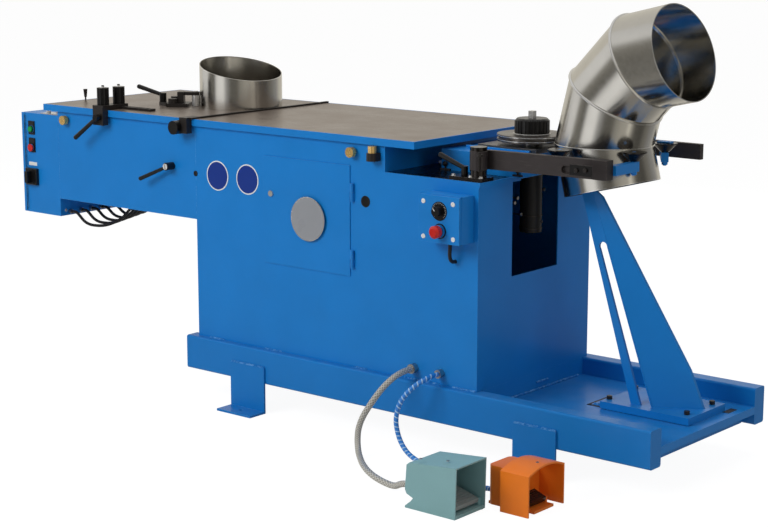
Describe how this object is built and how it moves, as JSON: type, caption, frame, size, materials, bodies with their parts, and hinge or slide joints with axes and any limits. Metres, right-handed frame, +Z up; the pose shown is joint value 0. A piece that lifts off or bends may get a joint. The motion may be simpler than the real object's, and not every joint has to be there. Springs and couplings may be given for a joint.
{
  "type": "elbow making machine",
  "caption": "Floor standing sheet metal machine that flanges duct gores at one station and closes them into an elbow at the other, with swing arm rollers and foot pedals.",
  "frame": {"origin": "centre of the four anchor holes, on the floor", "axes": "+X along the machine towards the closing station and the elbow, +Y from the operator's side to the rear, +Z up"},
  "size_m": [2.842, 1.242, 1.4456],
  "materials": {
    "bare_steel": "machined",
    "black_plastic": "matte",
    "black_steel": "black oxide",
    "blue_paint": "satin",
    "brass": "polished",
    "cable_black": "matte",
    "chrome": "polished",
    "galvanised": "galvanised sheet",
    "green_plastic": "gloss",
    "hose_blue": "translucent",
    "hose_grey": "braided",
    "motor_grey": "painted",
    "pedal_green": "hammered",
    "pedal_orange": "satin",
    "rail_blue": "satin",
    "red_plastic": "gloss",
    "table_steel": "worn, lightly oiled"
  },
  "bodies": {
    "root": {"base_frame": "rail_blue", "anchor_feet": "rail_blue", "deck_plate": "blue_paint", "body_shell": "blue_paint", "arm_box": "blue_paint", "table_trim": "blue_paint", "table_plates": "table_steel", "door_hinges": "blue_paint", "head_housing": "blue_paint", "column_frame": "blue_paint", "column_bolts": "black_steel", "arm_posts": "bare_steel", "gore_ring": "galvanised", "flange_gearmotor": "motor_grey", "flanging_frame": "black_steel", "table_brackets": "black_steel", "cabinet_shell": "blue_paint", "control_box": "blue_paint", "pedal_housing": "pedal_green", "footswitch_housing": "pedal_orange", "grey_hose": "hose_grey", "blue_hose": "hose_blue", "cable_glands": "bare_steel", "fixed_cables": "cable_black"},
    "carriage": {"head_carriage": "bare_steel", "closing_gearmotor": "motor_grey"},
    "closing_spindle": {"closing_spindle": "chrome", "closing_roll": "bare_steel", "closing_nut": "black_steel"},
    "elbow": {"elbow_duct": "galvanised"},
    "inner_roll": {"inner_roll": "bare_steel"},
    "front_arm": {"front_arm": "black_steel", "front_roller_bars": "blue_paint"},
    "rear_arm": {"rear_arm": "black_steel", "rear_roller_bar": "blue_paint"},
    "cone_left": {"cone_roller_left": "black_steel"},
    "cone_front": {"cone_roller_front": "black_steel"},
    "cone_rear": {"cone_roller_rear": "black_steel"},
    "post_lever": {"post_lever": "black_plastic"},
    "access_door": {"access_door": "blue_paint"},
    "door_lock": {"door_lock": "chrome"},
    "cabinet_door": {"cabinet_door": "blue_paint"},
    "start_button": {"start_button": "green_plastic"},
    "stop_button": {"stop_button": "red_plastic"},
    "switch_knob": {"switch_knob": "black_plastic"},
    "speed_dial": {"speed_dial": "black_plastic"},
    "emergency_stop": {"emergency_stop": "red_plastic"},
    "brass_left": {"brass_knob_left": "brass"},
    "brass_right": {"brass_knob_right": "brass"},
    "brass_top": {"brass_knob_top": "brass"},
    "front_lever": {"front_lever": "chrome"},
    "edge_lever": {"edge_lever": "black_plastic"},
    "mid_lever": {"mid_lever": "black_plastic"},
    "bracket_knob": {"bracket_knob": "black_plastic"},
    "guide_left": {"guide_roller_left": "black_steel"},
    "guide_right": {"guide_roller_right": "black_steel"},
    "flange_outer": {"flange_roll_outer": "chrome"},
    "flange_inner": {"flange_roll_inner": "chrome"},
    "pedal_treadle": {"pedal_treadle": "bare_steel"},
    "switch_treadle": {"switch_treadle": "black_plastic"}
  },
  "joints": [
    {"name": "head_slide", "type": "slide", "parent": "root", "child": "carriage", "axis": [1, 0, 0], "range_m": [-0.04, 0]},
    {"name": "closing_spin", "type": "hinge", "parent": "carriage", "child": "closing_spindle", "pos_m": [0.3215, 0.0235, 1], "axis": [0, 0, 1], "continuous": true},
    {"name": "elbow_spin", "type": "hinge", "parent": "root", "child": "elbow", "pos_m": [0.59738, 0.0235, 1], "axis": [0, 0, 1], "continuous": true},
    {"name": "inner_spin", "type": "hinge", "parent": "root", "child": "inner_roll", "pos_m": [0.48738, 0.0235, 1], "axis": [0, 0, 1], "continuous": true},
    {"name": "front_arm_swing", "type": "hinge", "parent": "root", "child": "front_arm", "pos_m": [0.3315, -0.2765, 0.95], "axis": [0, 0, 1], "range_deg": [-35, 0]},
    {"name": "rear_arm_swing", "type": "hinge", "parent": "root", "child": "rear_arm", "pos_m": [0.3315, 0.2705, 0.95], "axis": [0, 0, 1], "range_deg": [0, 35]},
    {"name": "cone_left_spin", "type": "hinge", "parent": "front_arm", "child": "cone_left", "pos_m": [0.56323, -0.17214, 0.985], "axis": [0, 0, 1], "continuous": true},
    {"name": "cone_front_spin", "type": "hinge", "parent": "front_arm", "child": "cone_front", "pos_m": [0.76955, -0.0755, 0.985], "axis": [0, 0, 1], "continuous": true},
    {"name": "cone_rear_spin", "type": "hinge", "parent": "rear_arm", "child": "cone_rear", "pos_m": [0.72793, 0.17316, 0.985], "axis": [0, 0, 1], "continuous": true},
    {"name": "post_lever_turn", "type": "hinge", "parent": "root", "child": "post_lever", "pos_m": [0.2775, -0.2765, 0.915], "axis": [0, 0, 1], "range_deg": [-60, 60]},
    {"name": "access_door_swing", "type": "hinge", "parent": "root", "child": "access_door", "pos_m": [-0.1485, -0.3228, 0.531], "axis": [0, 0, 1], "range_deg": [0, 110]},
    {"name": "door_lock_turn", "type": "hinge", "parent": "access_door", "child": "door_lock", "pos_m": [-0.5129, -0.3165, 0.773], "axis": [0, -1, 0], "range_deg": [0, 90]},
    {"name": "cabinet_door_swing", "type": "hinge", "parent": "root", "child": "cabinet_door", "pos_m": [-1.8055, 0.0925, 0.5755], "axis": [0, 0, -1], "range_deg": [0, 100]},
    {"name": "start_press", "type": "slide", "parent": "root", "child": "start_button", "axis": [0, 1, 0], "range_m": [0, 0.004], "stiffness_N_per_m": 300, "springref_m": -0.002},
    {"name": "stop_press", "type": "slide", "parent": "root", "child": "stop_button", "axis": [0, 1, 0], "range_m": [0, 0.004], "stiffness_N_per_m": 300, "springref_m": -0.002},
    {"name": "switch_turn", "type": "hinge", "parent": "root", "child": "switch_knob", "pos_m": [-1.7645, -0.3165, 0.715], "axis": [0, 1, 0], "range_deg": [0, 90]},
    {"name": "dial_turn", "type": "hinge", "parent": "root", "child": "speed_dial", "pos_m": [0.2675, -0.3915, 0.803], "axis": [0, 1, 0], "range_deg": [-135, 135]},
    {"name": "emergency_press", "type": "slide", "parent": "root", "child": "emergency_stop", "axis": [0, 1, 0], "range_m": [0, 0.006]},
    {"name": "brass_left_turn", "type": "hinge", "parent": "root", "child": "brass_left", "pos_m": [-1.5605, -0.3165, 0.9465], "axis": [0, 1, 0], "range_deg": [-180, 180]},
    {"name": "brass_right_turn", "type": "hinge", "parent": "root", "child": "brass_right", "pos_m": [-0.1455, -0.3165, 0.9458], "axis": [0, 1, 0], "range_deg": [-180, 180]},
    {"name": "brass_top_turn", "type": "hinge", "parent": "root", "child": "brass_top", "pos_m": [-0.0505, -0.3365, 0.976], "axis": [0, 0, 1], "range_deg": [-180, 180]},
    {"name": "front_lever_turn", "type": "hinge", "parent": "root", "child": "front_lever", "pos_m": [-0.9965, -0.3165, 0.824], "axis": [0, 1, 0], "range_deg": [-60, 60]},
    {"name": "edge_lever_turn", "type": "hinge", "parent": "root", "child": "edge_lever", "pos_m": [-1.3355, -0.3545, 0.975], "axis": [0, 1, 0], "range_deg": [-60, 60]},
    {"name": "mid_lever_turn", "type": "hinge", "parent": "root", "child": "mid_lever", "pos_m": [-1.3035, -0.06447, 1.03], "axis": [0, 0, 1], "range_deg": [-90, 90]},
    {"name": "bracket_knob_turn", "type": "hinge", "parent": "root", "child": "bracket_knob", "pos_m": [-0.9305, -0.3545, 0.97], "axis": [0, 1, 0], "range_deg": [-180, 180]},
    {"name": "guide_left_spin", "type": "hinge", "parent": "root", "child": "guide_left", "pos_m": [-1.3525, -0.3185, 1.03], "axis": [0, 0, 1], "continuous": true},
    {"name": "guide_right_spin", "type": "hinge", "parent": "root", "child": "guide_right", "pos_m": [-1.3425, -0.2505, 1.03], "axis": [0, 0, 1], "continuous": true},
    {"name": "flange_outer_spin", "type": "hinge", "parent": "root", "child": "flange_outer", "pos_m": [-1.17591, -0.01688, 1.02], "axis": [0, 0, 1], "continuous": true},
    {"name": "flange_inner_spin", "type": "hinge", "parent": "root", "child": "flange_inner", "pos_m": [-1.14973, 0.00187, 1.02], "axis": [0, 0, 1], "continuous": true},
    {"name": "pedal_press", "type": "hinge", "parent": "root", "child": "pedal_treadle", "pos_m": [0.6395, -0.8185, 0.024], "axis": [0, -1, 0], "range_deg": [0, 8], "stiffness_Nm_per_rad": 4, "springref_deg": -17.19},
    {"name": "switch_press", "type": "hinge", "parent": "root", "child": "switch_treadle", "pos_m": [0.7765, -0.6715, 0.02], "axis": [0, -1, 0], "range_deg": [0, 10], "stiffness_Nm_per_rad": 0.8, "springref_deg": -17.19}
  ],
  "couplings": [
    {"joint": "closing_spin", "follows": "elbow_spin", "ratio": -1.4159},
    {"joint": "inner_spin", "follows": "elbow_spin", "ratio": 3.7825},
    {"joint": "flange_inner_spin", "follows": "flange_outer_spin", "ratio": -1.1429},
    {"joint": "cone_left_spin", "follows": "elbow_spin", "ratio": -4.0064},
    {"joint": "cone_front_spin", "follows": "elbow_spin", "ratio": -4.0064},
    {"joint": "cone_rear_spin", "follows": "elbow_spin", "ratio": -4.0064}
  ]
}
